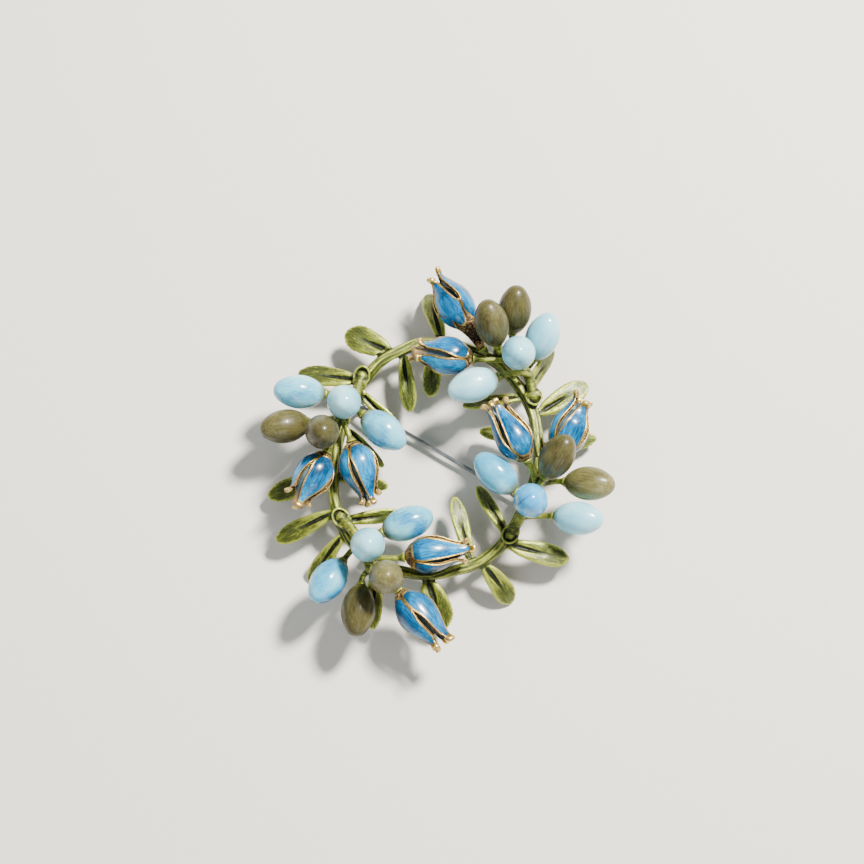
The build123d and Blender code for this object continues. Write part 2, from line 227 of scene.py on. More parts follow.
def newMaterial(name):
    material = bpy.data.materials.new(name)
    material.use_nodes = True
    tree = material.node_tree
    return material, tree, tree.nodes["Principled BSDF"]


def rgb(red, green, blue):
    # a colour as seen on screen, made linear
    shares = [c / 255 for c in (red, green, blue)]
    return (*[((c + 0.055) / 1.055) ** 2.4 if c > 0.04 else c / 12.92 for c in shares], 1.0)


patina = {
    # how the streaks lie along the piece, and each noise's scale, detail and roughness
    "streakLie": (0.7, 9.0, 3.0), "streaks": (1.0, 5.0, 0.65), "blotches": (0.55, 4.0, 0.6),
    "pits": (3.6, 4.0, 0.75), "blotchAmount": 0.5,
    # levels between which grime gives way to the middle colour, that to the bright one, and dull to glossy
    "middleEnds": (0.12, 0.48), "brightEnds": (0.5, 0.92), "glossEnds": (0.1, 0.9), "roughness": (0.55, 0.3),
    "coatRoughness": 0.28, "bumpHeight": 0.1 * mm,
}
brush = {
    # how patches and strokes lie along the piece, the patches' detail and roughness, and the strokes'
    # scale, detail, roughness and distortion
    "patchLie": (1.0, 1.0, 0.55), "patches": (2.5, 0.5), "strokeLie": (4.2, 4.2, 0.5),
    "strokes": (1.0, 4.0, 0.6, 0.3),
    # levels between which the pale colour gives way to the middle one, and that to the deep one
    "middleEnds": (0.22, 0.5), "deepEnds": (0.46, 0.72),
    # levels of the strokes between which the surface gets rougher, and by how many times
    "roughEnds": (0.3, 0.7), "roughness": (0.95, 1.1),
    # the specular level without a coat, and what a whole coat adds to it; last, the dark blue of a real
    # scratch, also painted on as shade on some berries' lower sides
    "specular": (0.2, 0.3), "coatRoughness": 0.06, "bumpHeight": 0.1 * mm, "scratchAndShade": (0, 44, 110),
}

print("castPatina and brushStrokes groups")


def makeCastPatina():
    # cast and patinated metal: dark in its grooves, brighter on its ridges, with fine streaks and pits
    tree, given, made = newGroup("castPatina", [
        ("position", "NodeSocketVector", None), ("relief", "NodeSocketFloat", 0.5),
        ("bright", "NodeSocketColor", (0.5, 0.5, 0.5, 1)), ("middle", "NodeSocketColor", (0.3, 0.3, 0.3, 1)),
        ("grime", "NodeSocketColor", (0.05, 0.05, 0.05, 1)), ("streaks", "NodeSocketFloat", 0.5),
        ("pits", "NodeSocketFloat", 0.3)],
        [("colour", "NodeSocketColor"), ("roughness", "NodeSocketFloat"), ("height", "NodeSocketFloat")])
    where = given["position"]
    streaks = noise(tree, stretched(tree, where, patina["streakLie"]), *patina["streaks"])
    streaks = swing(tree, streaks, given["streaks"])
    blotches = swing(tree, noise(tree, where, *patina["blotches"]), patina["blotchAmount"])
    pits = swing(tree, noise(tree, where, *patina["pits"]), given["pits"])
    height = maths(tree, "ADD", maths(tree, "ADD", streaks, blotches), pits)
    level = maths(tree, "ADD", given["relief"], height)
    low = mixColour(tree, spread(tree, level, patina["middleEnds"]), given["grime"], given["middle"])
    colour = mixColour(tree, spread(tree, level, patina["brightEnds"]), low, given["bright"])
    roughness = spread(tree, level, patina["glossEnds"], patina["roughness"])
    fillSockets(tree, made, {"colour": colour, "roughness": roughness, "height": height})
    return tree


def makeBrushStrokes():
    # brush strokes laid along a piece: fine strokes inside larger, softer patches
    tree, given, made = newGroup("brushStrokes", [
        ("position", "NodeSocketVector", None), ("pale", "NodeSocketColor", (0.8, 0.8, 0.8, 1)),
        ("middle", "NodeSocketColor", (0.5, 0.5, 0.5, 1)), ("deep", "NodeSocketColor", (0.2, 0.2, 0.2, 1)),
        ("patchSize", "NodeSocketFloat", 0.3), ("strokes", "NodeSocketFloat", 0.5),
        ("depth", "NodeSocketFloat", 0.5)],
        [("colour", "NodeSocketColor"), ("height", "NodeSocketFloat")])
    where = given["position"]
    patches = noise(tree, stretched(tree, where, brush["patchLie"]), given["patchSize"], *brush["patches"])
    strokes = noise(tree, stretched(tree, where, brush["strokeLie"]), *brush["strokes"])
    level = maths(tree, "ADD", patches, swing(tree, strokes, given["strokes"]))
    deep = maths(tree, "MULTIPLY", spread(tree, level, brush["deepEnds"]), given["depth"])
    low = mixColour(tree, spread(tree, level, brush["middleEnds"]), given["pale"], given["middle"])
    fillSockets(tree, made, {"colour": mixColour(tree, deep, low, given["deep"]), "height": strokes})
    return tree


castPatina = makeCastPatina()
brushStrokes = makeBrushStrokes()


def addBump(tree, shader, height, strength, distance):
    bump = addNode(tree, "ShaderNodeBump", {"Height": height, "Strength": strength, "Distance": distance})
    tree.links.new(bump.outputs[0], shader.inputs["Normal"])


def metalFinish(name, bright, middle, grime, metallic, streaks, pits, bump, place, coat):
    material, tree, shader = newMaterial(name)
    made = placeGroup(tree, castPatina, {
        "position": readAttribute(tree, place)["Vector"], "relief": readAttribute(tree, "relief")["Fac"],
        "bright": rgb(*bright), "middle": rgb(*middle), "grime": rgb(*grime),
        "streaks": streaks, "pits": pits})
    fillSockets(tree, shader, {
        "Base Color": made["colour"], "Roughness": made["roughness"], "Metallic": metallic,
        "Coat Weight": coat, "Coat Roughness": patina["coatRoughness"]})
    addBump(tree, shader, made["height"], bump, patina["bumpHeight"])
    return material


def glazeFinish(name, pale, middle, deep, patchSize, strokes, depth, roughness, coat, bump, soiled,
                metallic=0.0):
    # the stroke and soil attributes mix in a dark stroke (a real scratch on one berry, painted shade on the
    # lower sides of others) and the soiled colour
    material, tree, shader = newMaterial(name)
    made = placeGroup(tree, brushStrokes, {
        "position": readAttribute(tree, "place")["Vector"], "pale": rgb(*pale), "middle": rgb(*middle),
        "deep": rgb(*deep), "patchSize": patchSize, "strokes": strokes, "depth": depth})
    scratchedAndShaded = mixColour(tree, readAttribute(tree, "scratchAndShade")["Fac"], made["colour"], rgb(*brush["scratchAndShade"]))
    colour = mixColour(tree, readAttribute(tree, "soil")["Fac"], scratchedAndShaded, rgb(*soiled))
    ends = [roughness * share for share in brush["roughness"]]
    fillSockets(tree, shader, {
        "Base Color": colour, "Roughness": spread(tree, made["height"], brush["roughEnds"], ends),
        "Metallic": metallic, "Coat Weight": coat, "Coat Roughness": brush["coatRoughness"],
        "Specular IOR Level": brush["specular"][0] + brush["specular"][1] * coat})
    addBump(tree, shader, made["height"], bump, brush["bumpHeight"])
    return material


metals = {
    # name: bright, middle and grimy colour, metallic, streaks, pits, bump, attribute that places it, coat
    "greenPatina": ((158, 166, 62), (57, 66, 12), (17, 22, 5), 0.5, 1.2, 0.5, 0.7, "flow", 0.15),
    "goldRim": ((242, 214, 124), (150, 118, 50), (38, 28, 10), 0.8, 0.4, 0.8, 0.5, "place", 0.0),
    "bronzeCalyx": ((180, 144, 88), (50, 34, 22), (14, 9, 6), 0.6, 0.3, 2.3, 1.0, "place", 0.0),
    "wireSteel": ((176, 180, 182), (104, 108, 112), (40, 42, 44), 1.0, 0.3, 0.2, 0.2, "flow", 0.0),
}
enamels = {
    # name: pale, middle and deep colour, patch size, strokes, depth, roughness, coat, bump,
    # soiled colour, metallic
    "blueEnamel": ((16, 146, 194), (0, 91, 138), (0, 42, 70), 0.3, 0.8, 0.95, 0.25, 0.35, 0.2,
                   (20, 40, 56), 0.0),
    "innerEnamel": ((124, 156, 166), (70, 106, 124), (36, 62, 80), 0.4, 0.9, 0.8, 0.4, 0.2, 0.3,
                    (100, 70, 36), 0.1),
    "heartEnamel": ((92, 110, 116), (60, 82, 92), (32, 54, 68), 0.4, 0.9, 0.8, 0.4, 0.2, 0.3,
                    (120, 96, 60), 0.0),
}
metal = {name: metalFinish(name, *row) for name, row in metals.items()}
enamel = {name: glazeFinish(name, *row) for name, row in enamels.items()}

# green metalwork

ring = {
    "radius": 17.4 * mm, "lift": 5.2 * mm, "stem": 1.8 * mm,
    # degrees between two points of the line that the flutes follow, and how often it is smoothed
    "step": 3, "smoothing": 3,
    # angle round the wreath, share of the radius
    "rows": [(0, 0.935), (24, 0.975), (42, 1.02), (60, 1.06), (80, 1.085), (98, 1.095), (118, 1.055),
             (134, 0.98), (152, 0.925), (172, 0.91), (190, 0.95), (207, 1.02), (225, 1.09), (246, 1.10),
             (268, 1.07), (290, 1.03), (307, 0.99), (322, 0.925), (341, 0.905)],
}
flutes = {
    # how many, how deep, how fast they turn along the stem (radians a mm), and how far and fast they waver
    "count": 4, "depth": 0.07 * mm, "twist": 0.12, "waver": 1.2, "waverRate": 0.35,
    # fine flutes over them, as deep as this share of the others
    "fineCount": 9, "fineShare": 0.45, "fineTwist": 0.5, "fineWaver": 2.0, "fineWaverRate": 0.6,
    # distances from the ring's line, as shares of the stem: where the flutes fade and where the stem ends
    "fade": (0.62, 0.85), "stemEnds": 0.75,
    "patternAt": 40.0,
}
leaf = {
    "length": 9.4 * mm, "width": 3.2 * mm, "thick": 0.95 * mm,
    # ring angle, heading, start pitch, end pitch, roll, length, width
    "rows": [(112, 155, 6, -16, 0, 0.90, 1.30), (107, 277, -4, -10, 12, 1.06, 0.92),
             (133, 171, -2, -14, 20, 1.12, 0.98), (138, 315, -4, -12, 30, 1.00, 0.80),
             (160, 315, -6, -10, -35, 0.98, 0.74), (187, 199, -14, -12, 0, 1.19, 1.16),
             (189, 350, -10, -14, 25, 0.95, 0.84), (208, 205, -2, -16, 0, 1.12, 1.06),
             (213, 8, -4, -10, 25, 1.04, 0.80), (240, 267, -6, -16, 10, 1.12, 0.92),
             (265, 288, 0, -22, 0, 0.94, 1.30), (288, 104, 4, -10, 14, 1.22, 0.90),
             (308, 347, -2, -14, 0, 1.12, 1.00), (312, 119, -8, -10, 24, 1.04, 0.86),
             (24, 33, -2, -14, 0, 1.08, 1.00), (6, 14, -20, -14, 10, 1.06, 0.92),
             (11, 170, -8, -12, 10, 1.00, 0.84), (35, 186, 0, -16, 30, 1.08, 0.86),
             (37, 57, 0, -8, 62, 0.94, 0.92), (91, 266, -4, -10, 12, 0.92, 0.98)],
    # ring angle, heading, length on the flat, width: these come down to the surface
    "resting": [(87, 104, 1.02, 1.04), (219, 231, 0.97, 0.92), (293, 311, 0.80, 0.94)],
    "restingBend": 22.0, "restingTip": 0.42,
    # ring angle: how much broader the finished leaf is than its casting
    "broader": {133: 1.3, 24: 1.25, 265: 1.2, 308: 1.2, 293: 1.25, 112: 1.12, 37: 1.35},
    # share of length, half width
    "outline": [(0.0, 0.30), (0.16, 0.58), (0.42, 0.86), (0.68, 1.0), (0.88, 0.80), (1.0, 0.26)],
}
leafRelief = {
    # places are shares of the leaf's length, or of its half width across it
    "rim": 0.09 * mm, "rimAt": 0.8, "rimWidth": 0.22,
    "vein": 0.22 * mm, "veinFades": (0.42, 0.64), "veinWidth": 0.06,
    "veinFlare": 0.26, "flareFades": (0.1, 0.62),
    "dish": 0.06 * mm, "dishStarts": (0.3, 0.6), "dishFades": (0.85, 1.0),
    "starts": (0.08, 0.25), "topStarts": (-0.05 * mm, 0.15 * mm),
    # a point is the leaf's while it is this near: shares of its length, half width, thickness and length
    "near": 0.75, "across": 1.25, "above": 0.75, "from": 0.06,
    "patternAt": 60.0, "patternStep": 7,
}
recast = {
    # size of the little cubes that the metalwork is recast with, and the share of its triangles that is kept
    "cube": 0.14 * mm, "smoothing": 4, "kept": 0.53, "reliefRounds": 9, "reliefDepth": 0.075 * mm,
}
collars = {
    "reach": 1.2 * mm, "thick": 0.17 * mm, "stretch": 1.3, "above": 1.2 * mm, "pitch": 20.0,
    "fill": 0.9 * mm, "fillShape": (0.95, 1.35, 0.6),
    # ring angle, across and up as shares of the ring's radius, heading of the side shoot that starts there,
    # and how far along it the metal between the shoot and the collar is filled (mm)
    "rows": [(132, -0.02, 0.02, 255, 1.1), (32, 0.05, 0.04, 103, 0.3), (313, 0.01, 0.0, 60, 0.9),
             (212, 0.015, 0.0, 312, 1.0)],
}
hingeAngle = 143.0  # where the pin's hinge is on the ring


def ringPoint(angle):
    turns = [row[0] for row in ring["rows"]] + [360 + ring["rows"][0][0]]
    shares = [row[1] for row in ring["rows"]] + [ring["rows"][0][1]]
    angle = angle % 360
    after = next(i for i, turn in enumerate(turns) if turn >= angle and i > 0)
    part = (angle - turns[after - 1]) / (turns[after] - turns[after - 1])
    ends = [ring["radius"] * shares[i] * heading3d(turns[i]) for i in (after - 1, after)]
    return ends[0] * (1 - part) + ends[1] * part + np.array([0, 0, ring["lift"]])


def leafLine(row):
    # points along a leaf, its across direction there, and its half width
    angle, heading, first, last, roll, length, width = row
    length = length * leaf["length"]
    place = ringPoint(angle)
    before = 0.0
    stations = []
    for share, half in leaf["outline"]:
        mean = first + (last - first) * (share + before) / 2
        place = place + heading3d(heading, mean) * (share - before) * length
        before = share
        along = heading3d(heading, first + (last - first) * share)
        across = np.array(Matrix.Rotation(math.radians(roll), 3, Vector(along)) @ Vector(sideOf(heading)))
        stations.append((place, across, half * width * leaf["width"] / 2, share))
    return stations


def restingRow(row):
    # a leaf whose tip comes down to the surface, as a row of the other leaves' kind
    angle, heading, flatLength, width = row
    drop = (ring["lift"] - leaf["restingTip"] * leaf["thick"] / 2) / leaf["length"]
    mean = -math.degrees(math.atan2(drop, flatLength))
    bend = math.radians(leaf["restingBend"])
    length = math.hypot(drop, flatLength) * bend / math.sin(bend)
    return (angle, heading, mean + leaf["restingBend"], mean - leaf["restingBend"], 0, length, width)


def alongLine(points, line):
    # distance to a polyline, the length along it, the nearest place on it and its direction there
    best = np.full(len(points), 1e9)
    travel = np.zeros(len(points))
    nearest = np.zeros_like(points)
    way = np.zeros_like(points)
    done = 0.0
    for a, b in zip(line[:-1], line[1:]):
        d = b - a
        size = np.linalg.norm(d)
        t = np.clip(((points - a) @ d) / size**2, 0, 1)
        foot = a + t[:, None] * d
        distance = np.linalg.norm(points - foot, axis=1)
        closer = distance < best
        best[closer] = distance[closer]
        travel[closer] = done + t[closer] * size
        nearest[closer] = foot[closer]
        way[closer] = d / size
        done += size
    return best, travel, nearest, way


jointPlace = np.array(frame["joints"][0]["pos_m"])
origin = (jointPlace - ringPoint(hingeAngle)) * np.array([1, 1, 0])  # middle of the ring in this frame

print("camera, floor and light")
view = {"target": origin + np.array([-0.705, 4.164, 6.0]) * mm, "elevation": 78.0, "distance": 0.4,
        "lens": 106.17, "sensor": 36.0}
cameraData = bpy.data.cameras.new("camera")
cameraData.lens = view["lens"]
cameraData.sensor_width = view["sensor"]
cameraData.clip_start = 0.01
camera = bpy.data.objects.new("camera", cameraData)
bpy.context.scene.collection.objects.link(camera)
rise = math.radians(view["elevation"])
back = Vector((0, -math.cos(rise), math.sin(rise)))
camera.location = Vector(view["target"]) + view["distance"] * back
camera.rotation_euler = (math.radians(90) - rise, 0, 0)
bpy.context.scene.camera = camera

lights = [
    # name, place, size, power, colour, seen in glossy surfaces
    ("keyLight", (0.26, 0.26, 0.50), 0.10, 17.0, (1.0, 0.97, 0.92), True),
    ("fillLight", (-0.5, -0.2, 0.5), 0.6, 2.6, (0.9, 0.95, 1.0), False),
    ("rimLight", (0.1, -0.6, 0.35), 0.4, 1.6, (1.0, 1.0, 1.0), True),
]
for name, place, size, power, colour, glossy in lights:
    data = bpy.data.lights.new(name, "AREA")
    data.size = size
    data.energy = power
    data.color = colour
    lamp = bpy.data.objects.new(name, data)
    lamp.location = place
    lamp.visible_glossy = glossy
    lamp.rotation_euler = (-Vector(place)).to_track_quat("-Z", "Y").to_euler()
    bpy.context.scene.collection.objects.link(lamp)
studio = {
    "sky": (0.93, 0.95, 1.0, 1), "skyStrength": 0.32,
    "floorSize": 4.0, "floorColour": (214, 209, 200), "floorRoughness": 0.8,
}
world = bpy.data.worlds.new("studio")
bpy.context.scene.world = world
world.use_nodes = True
fillSockets(world.node_tree, world.node_tree.nodes["Background"], {
    "Color": studio["sky"], "Strength": studio["skyStrength"]})

bpy.ops.object.select_all(action="DESELECT")
bpy.ops.mesh.primitive_plane_add(size=studio["floorSize"], location=(0, 0, 0))
floor = bpy.context.object
floor.name = "floor"
floorMaterial, floorTree, floorShader = newMaterial("paleFloor")
fillSockets(floorTree, floorShader, {
    "Base Color": rgb(*studio["floorColour"]), "Roughness": studio["floorRoughness"]})
floor.data.materials.append(floorMaterial)


def addCollar(angle, across, up, heading, fillAt):
    # a lip round a side shoot's butt, and the metal that fills the space inside it
    aside = np.array([across * ring["radius"], up * ring["radius"], collars["above"]])
    spot = ringPoint(angle) + origin + aside
    bpy.ops.object.select_all(action="DESELECT")
    bpy.ops.mesh.primitive_torus_add(major_radius=collars["reach"], minor_radius=collars["thick"],
                                     major_segments=32, minor_segments=12, location=spot,
                                     rotation=(0, math.radians(collars["pitch"]), math.radians(heading)))
    lip = bpy.context.object
    lip.scale = (collars["stretch"], 1, 1)
    bpy.ops.object.select_all(action="DESELECT")
    bpy.ops.mesh.primitive_uv_sphere_add(radius=collars["fill"], rotation=(0, 0, math.radians(heading)),
                                         location=spot + heading3d(heading) * fillAt * mm)
    filling = bpy.context.object
    filling.scale = collars["fillShape"]
    return [lip, filling]


def shapeStem(points, move, flow):
    # flutes along the ring; says which points are the stem's
    circle = [ringPoint(angle) + origin for angle in range(0, 360 + ring["step"], ring["step"])]
    for _ in range(ring["smoothing"]):
        inner = [(a + 2 * b + c) / 4 for a, b, c in zip(circle[:-2], circle[1:-1], circle[2:])]
        circle = [circle[0]] + inner + [circle[-1]]
    distance, travel, foot, way = alongLine(points, circle)
    offset = points - foot
    level = np.cross(np.array([0, 0, 1.0]), way)
    turn = np.arctan2(offset[:, 2], (offset * level).sum(1))
    along = travel / mm
    waver = flutes["waver"] * np.sin(along * flutes["waverRate"])
    fineWaver = flutes["fineWaver"] * np.sin(along * flutes["fineWaverRate"])
    ripple = np.cos(flutes["count"] * turn + flutes["twist"] * along + waver)
    fineRipple = np.cos(flutes["fineCount"] * turn + fineWaver + flutes["fineTwist"] * along)
    ripple += flutes["fineShare"] * fineRipple
    move += (1 - softStep(*flutes["fade"], distance / ring["stem"])) * flutes["depth"] * ripple
    inStem = distance < flutes["stemEnds"] * ring["stem"]
    around = turn * ring["stem"] / 2 / mm
    flow[inStem] = np.stack([along, around, np.full(len(turn), flutes["patternAt"])], 1)[inStem]
    return inStem


def shapeLeaf(number, row, points, free, move, slide, flow):
    # raised rim, sunk vein and dished end on a leaf's upper side, and its broader edges
    stations = leafLine(row)
    line = [place + origin for place, _, _, _ in stations]
    total = sum(np.linalg.norm(b - a) for a, b in zip(line[:-1], line[1:]))
    middle = (line[0] + line[-1]) / 2
    near = np.where(np.linalg.norm(points - middle, axis=1) < leafRelief["near"] * total)[0]
    _, travel, foot, way = alongLine(points[near], line)
    share = travel / total
    marks = [station[3] for station in stations]
    across = [np.interp(share, marks, [station[1][axis] for station in stations]) for axis in range(3)]
    across = np.stack(across, 1)
    half = np.interp(share, marks, [station[2] for station in stations])
    offset = points[near] - foot
    t = (offset * across).sum(1) / half
    h = (offset * np.cross(way, across)).sum(1)
    on = (np.abs(t) < leafRelief["across"]) & (np.abs(h) < leafRelief["above"] * leaf["thick"])
    on &= (share > leafRelief["from"]) & free[near]
    t, h, share, half, across, index = t[on], h[on], share[on], half[on], across[on], near[on]
    top = softStep(*leafRelief["topStarts"], h)
    starts = softStep(*leafRelief["starts"], share)
    fromRim = (np.abs(t) - leafRelief["rimAt"]) / leafRelief["rimWidth"]
    rim = leafRelief["rim"] * np.exp(-fromRim ** 2) * top * starts
    flare = 1 - softStep(*leafRelief["flareFades"], share)
    width = leafRelief["veinWidth"] + leafRelief["veinFlare"] * flare
    vein = leafRelief["vein"] * np.exp(-(t / width) ** 2) * (1 - softStep(*leafRelief["veinFades"], share))
    dish = leafRelief["dish"] * np.clip(1 - t * t, 0, 1) * softStep(*leafRelief["dishStarts"], share)
    dish = dish * (1 - softStep(*leafRelief["dishFades"], share))
    move[index] += rim - vein * starts * top - dish * top
    broader = (leaf["broader"].get(row[0], 1.0) - 1) * starts * half * t
    slide[index] += across * broader[:, None]
    pattern = np.full(len(t), leafRelief["patternAt"] + leafRelief["patternStep"] * number)
    flow[index] = np.stack([share * total / mm, t * half / mm, pattern], 1)


print("green metalwork: recast and smooth")
wreath = copyNode("wreath_frame", "wreath_metal")
extras = [extra for row in collars["rows"] for extra in addCollar(*row)]
pickOnly(wreath)
for extra in extras:
    extra.select_set(True)
bpy.ops.object.join()
applyModifier(wreath, "REMESH", mode="VOXEL", voxel_size=recast["cube"], adaptivity=0.0)
applyModifier(wreath, "SMOOTH", factor=0.5, iterations=recast["smoothing"])

print("green metalwork: flutes, leaf rims and veins")
points = meshPoints(wreath)
flow = (points - origin) / mm
move = np.zeros(len(points))
slide = np.zeros_like(points)
inStem = shapeStem(points, move, flow)
for number, row in enumerate(leaf["rows"] + [restingRow(row) for row in leaf["resting"]]):
    shapeLeaf(number, row, points, ~inStem, move, slide, flow)
setPoints(wreath, points + meshNormals(wreath) * move[:, None] + slide)
writeVector(wreath, "flow", flow)
writeRelief(wreath, recast["reliefRounds"], recast["reliefDepth"])
applyModifier(wreath, "DECIMATE", ratio=recast["kept"])
pickOnly(wreath)
bpy.ops.object.shade_smooth()
wreath.data.materials.append(metal["greenPatina"])
print("  triangles", triangles(wreath))
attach(wreath, "brooch")
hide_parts("wreath_frame")

print("berries")
beadGlazes = {
    # name: pale, middle and deep colour, patch size, strokes, depth, roughness, coat, bump
    "paleGlaze": ((182, 223, 227), (134, 196, 209), (64, 154, 186), 0.26, 0.3, 0.6, 0.26, 0.35, 0.05),
    "streakedGlaze": ((182, 226, 230), (104, 184, 204), (6, 106, 156), 0.2, 0.36, 1.0, 0.22, 0.4, 0.05),
    "deepGlaze": ((146, 208, 222), (66, 158, 192), (2, 88, 140), 0.22, 0.34, 0.95, 0.22, 0.4, 0.05),
    "azureGlaze": ((78, 172, 214), (56, 154, 204), (34, 128, 186), 0.2, 0.2, 0.6, 0.2, 0.4, 0.04),
    "oliveGlaze": ((95, 91, 56), (70, 66, 35), (38, 35, 13), 0.3, 0.75, 0.75, 0.36, 0.14, 0.05),
    "paleOliveGlaze": ((122, 118, 78), (92, 88, 50), (58, 54, 24), 0.3, 0.75, 0.75, 0.36, 0.14, 0.05),
}
bead = {
    # the seat's soil: its colour, its share and the distances from the seat between which it fades (mm)
    "soiled": (84, 82, 34), "soil": 0.85, "soilFades": (0.2, 1.5),
    "strokeFade": 0.7, "shadeAngle": 40, "patternStep": (11.0, 7.0, 5.0),
}
glaze = {name: glazeFinish(name, *row, bead["soiled"]) for name, row in beadGlazes.items()}
berries = {
    # name: heading, tilt, finish
    "a1_blue": (179, 16, "streakedGlaze"), "a2_blue": (280, 78, "paleGlaze"),
    "a3_blue": (322, 1, "streakedGlaze"), "a4_olive": (194, 22, "oliveGlaze"),
    "a5_olive": (283, 79, "oliveGlaze"), "b1_blue": (200, 7, "paleGlaze"),
    "b2_blue": (261, 77, "paleGlaze"), "b3_blue": (66, 36, "paleGlaze"),
    "b4_olive": (109, 45, "oliveGlaze"), "b5_olive": (84, 42, "oliveGlaze"),
    "c1_blue": (350, 26, "paleGlaze"), "c2_blue": (256, 80, "azureGlaze"),
    "c3_blue": (138, 3, "deepGlaze"), "c4_olive": (351, 24, "paleOliveGlaze"),
    "c5_olive": (55, 40, "oliveGlaze"), "d1_blue": (20, 1, "streakedGlaze"),
    "d2_blue": (280, 80, "paleGlaze"), "d3_blue": (236, 17, "deepGlaze"),
    "d4_olive": (264, 8, "oliveGlaze"), "d5_olive": (278, 80, "paleOliveGlaze"),
}
scratchAndShadeStrokes = {
    # name: both ends of a dark blue stroke, in mm from the berry's middle, its width in mm and its strength;
    # c2's is a real scratch, while a1's, a3's and b2's, on their lower sides, are painted shade
    "c2_blue": ((-1.95, -1.0), (-0.2, 0.1), 0.15, 1.0), "a1_blue": ((-1.4, -1.5), (2.6, -1.4), 0.55, 0.45),
    "a3_blue": ((-2.2, 0.3), (0.0, -2.2), 0.6, 0.5), "b2_blue": ((-0.5, -1.4), (0.9, -2.2), 0.5, 0.3),
}


def scratchAndShadeStroke(points, first, last, width, strength):
    # a dark stroke that is seen from above and fades towards its end; it draws a real scratch on one berry and
    # painted shade on the lower side of others
    middle = (points.min(0) + points.max(0)) / 2
    off, along, _, _ = alongLine((points[:, :2] - middle[:2]) / mm, [np.array(first), np.array(last)])
    fade = 1 - bead["strokeFade"] * along / math.dist(first, last)
    return strength * fade * np.exp(-(off / width) ** 2) * (points[:, 2] > middle[2])


for number, (name, (heading, tilt, finish)) in enumerate(berries.items()):
    berry = copyNode(name + "_berry", name + "_glazed")
    points = meshPoints(berry)
    axes, seat = seatFrame(points, heading, tilt)
    local = (points - seat) @ axes.T / mm
    stroke = np.zeros(len(points))
    # dark stroke: a real scratch on c2, painted shade on the lower sides of a1, a3 and b2
    if name in scratchAndShadeStrokes:
        stroke = scratchAndShadeStroke(points, *scratchAndShadeStrokes[name])
    writeVector(berry, "place", local + np.array(bead["patternStep"]) * number)
    writeNumber(berry, "soil", bead["soil"] * (1 - softStep(*bead["soilFades"], local[:, 2])))
    writeNumber(berry, "scratchAndShade", stroke)
    smoothShade(berry, bead["shadeAngle"])
    berry.data.materials.append(glaze[finish])
    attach(berry, "brooch")
    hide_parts(name + "_berry")

bud = {
    "length": 10.7 * mm, "halfWidth": 3.1 * mm, "columns": 28, "wall": 0.42 * mm, "rimWidth": 0.14 * mm,
    "step": 0.06 * mm, "recess": 0.1 * mm, "knob": 0.2 * mm, "panelTo": 0.93, "slitOpens": 0.25,
    # degrees from a side's middle that are still its slit's, and from a petal's middle to a closed slit
    "slitHalf": 2, "closedHalf": 44.3,
    # shares of the length: where the calyx rises between two petals, where it gives way, where knobs swell
    "calyxStarts": (0.0, 0.06), "calyxFades": (0.12, 0.5), "calyxCurve": 3, "knobStarts": (0.9, 0.99),
    # share of length, share of half width, half angle of a petal between open slits
    "rows": [(0.0, 0.28, 44), (0.03, 0.40, 44), (0.06, 0.52, 44), (0.10, 0.66, 43.5), (0.15, 0.80, 43),
             (0.21, 0.92, 41.5), (0.28, 0.98, 39.5), (0.35, 1.0, 38), (0.43, 0.97, 36.5), (0.52, 0.90, 35),
             (0.61, 0.79, 34.5), (0.69, 0.67, 34), (0.76, 0.575, 33), (0.82, 0.50, 31), (0.87, 0.45, 27.5),
             (0.91, 0.43, 22), (0.945, 0.43, 16), (0.975, 0.47, 13), (1.0, 0.53, 11)],
    # these stand in for the first two rows of a bud with a neck
    "neckRows": [(0.0, 0.24, 44), (0.10, 0.25, 44), (0.20, 0.29, 44), (0.29, 0.36, 44), (0.37, 0.44, 44)],
    "shadeAngle": 50, "patternStep": (5.0, 9.0, 13.0), "reliefRounds": 8, "reliefDepth": 0.05 * mm,
}
budKinds = {
    # shares of the length: where the slits start, where the enamel starts, how far the calyx reaches up
    # between two petals, the neck, where the dark heart between the petals starts and ends; how blunt it is
    "plain": (0.14, 0.055, 0.05, 0.0, 0.1, 0.86, 0.25), "late": (0.32, 0.055, 0.05, 0.0, 0.2, 0.80, 0.25),
    "calyx": (0.15, 0.10, 0.02, 0.0, 0.1, 0.86, 0.25), "necked": (0.27, 0.08, 0.22, 0.36, 0.3, 0.84, 0.25),
    "beaked": (0.14, 0.055, 0.05, 0.0, 0.1, 1.0, 1.8),
}
heart = {
    # where it grows from its start, where its bluntness counts, and its least radius as a share
    "grows": (-0.06, 0.3), "ends": (0.75, 1.0), "least": 0.02, "columns": 32,
    # share of length, share of half width
    "rows": [(0.10, 0.34), (0.2, 0.56), (0.3, 0.71), (0.4, 0.74), (0.5, 0.68), (0.6, 0.58), (0.7, 0.45),
             (0.8, 0.31), (0.88, 0.20), (0.93, 0.17), (0.97, 0.20), (1.0, 0.10)],
}


